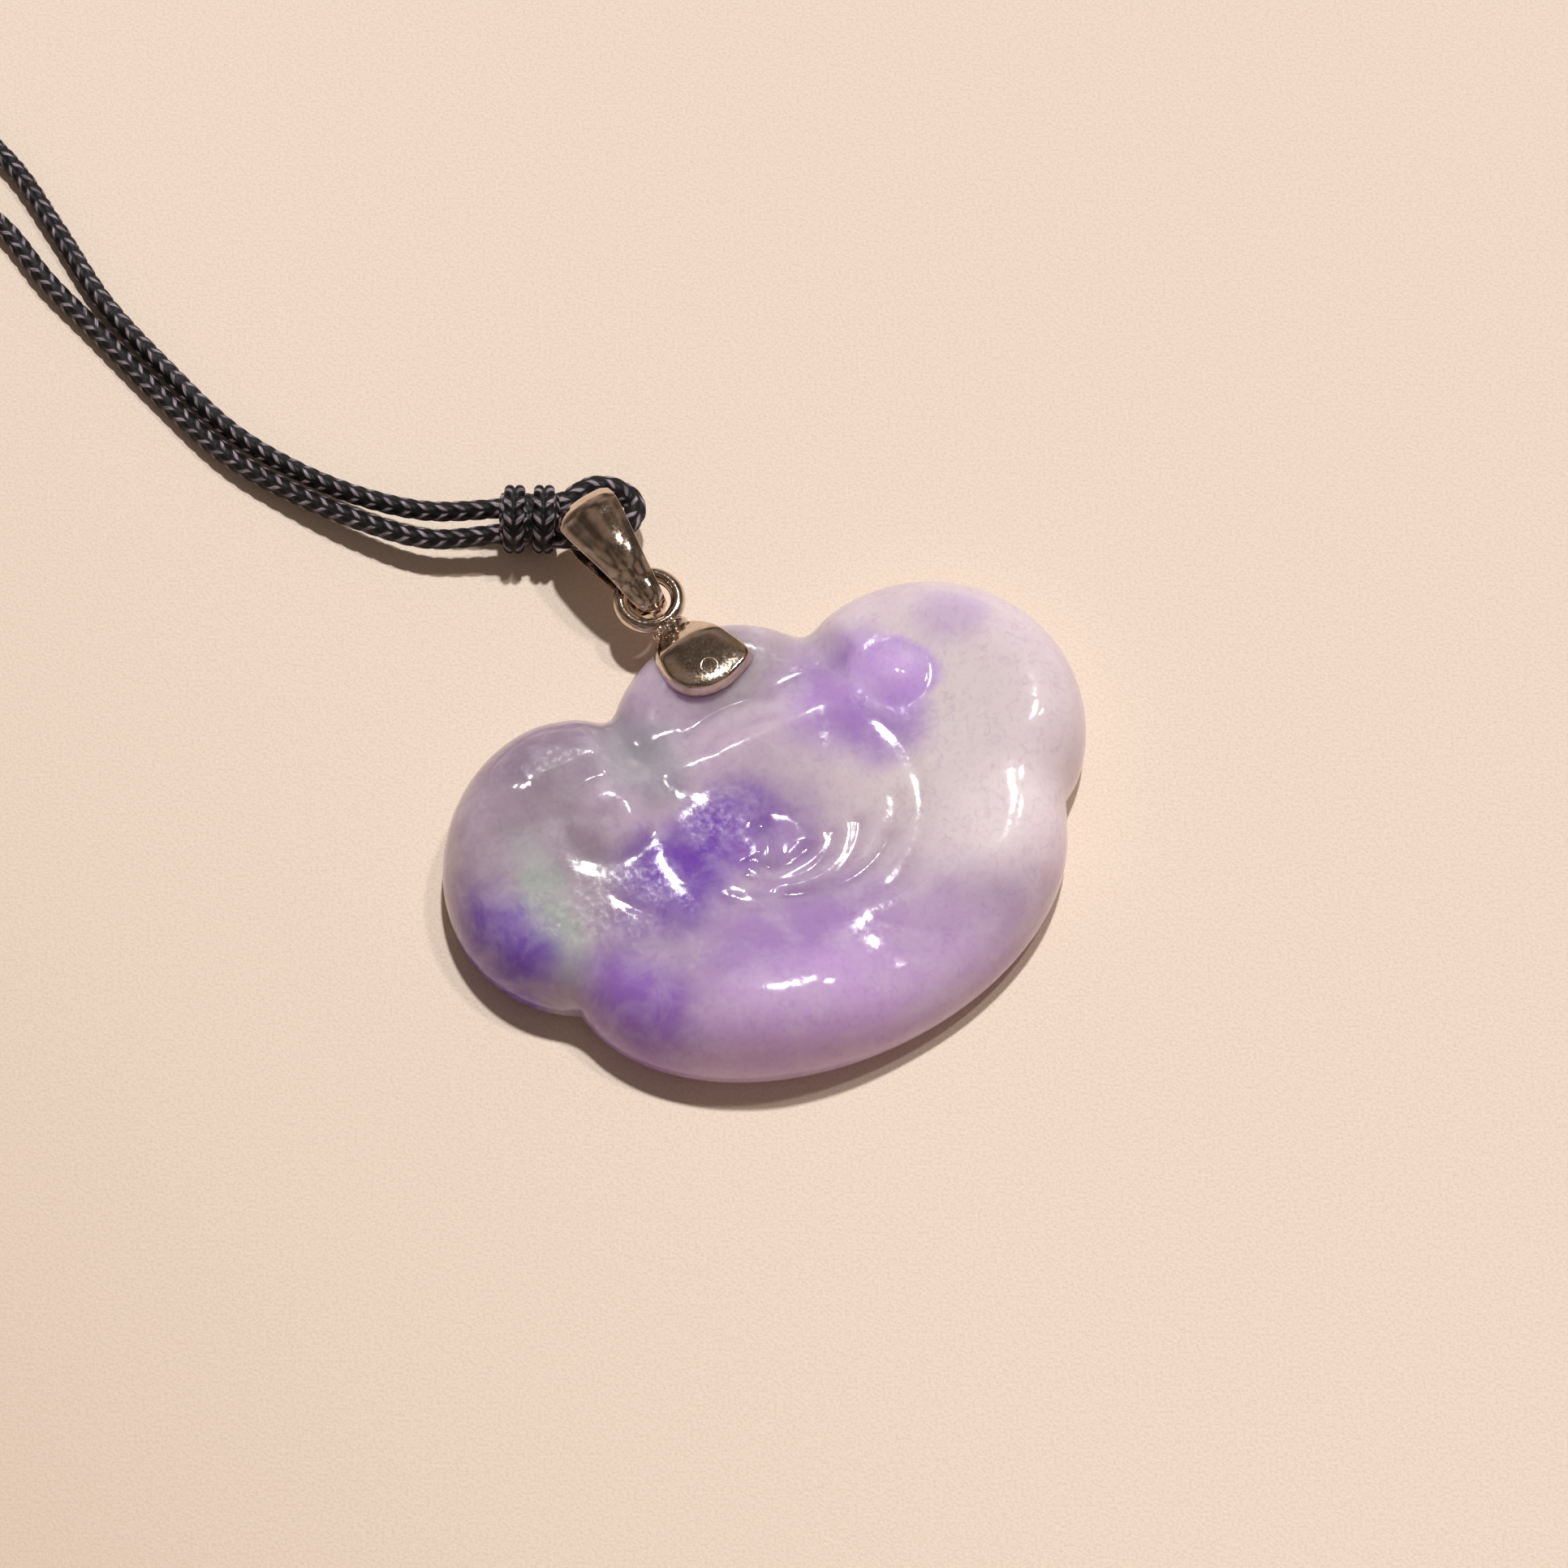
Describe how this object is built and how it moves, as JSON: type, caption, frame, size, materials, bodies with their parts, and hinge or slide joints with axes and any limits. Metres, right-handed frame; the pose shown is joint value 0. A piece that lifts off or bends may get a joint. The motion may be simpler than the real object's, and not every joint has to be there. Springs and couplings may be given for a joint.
{
  "type": "carved jade pendant on a braided cord",
  "caption": "Cloud-head jade carving with a polished pinch cap, tapered bail and knotted braided cord, lying on its back.",
  "frame": {"origin": "middle of the carving's flat back, on the surface that it lies on", "axes": "+Z out of the back towards the carved front, +X to the right and +Y away from a viewer at the picture's side; the carving's own up direction is turned 26.5 degrees anticlockwise from +Y"},
  "size_m": [0.1653, 0.0821, 0.0078],
  "materials": {
    "jade": "polished",
    "metal": "polished",
    "cord": "braided"
  },
  "bodies": {
    "root": {"jade_carving": "jade", "pinch_cap": "metal", "cap_pin": "metal", "tapered_bail": "metal", "bail_cord": "cord", "loop_knot": "cord", "neck_cord_upper": "cord", "neck_cord_lower": "cord", "barrel_clasp": "metal"}
  },
  "joints": []
}
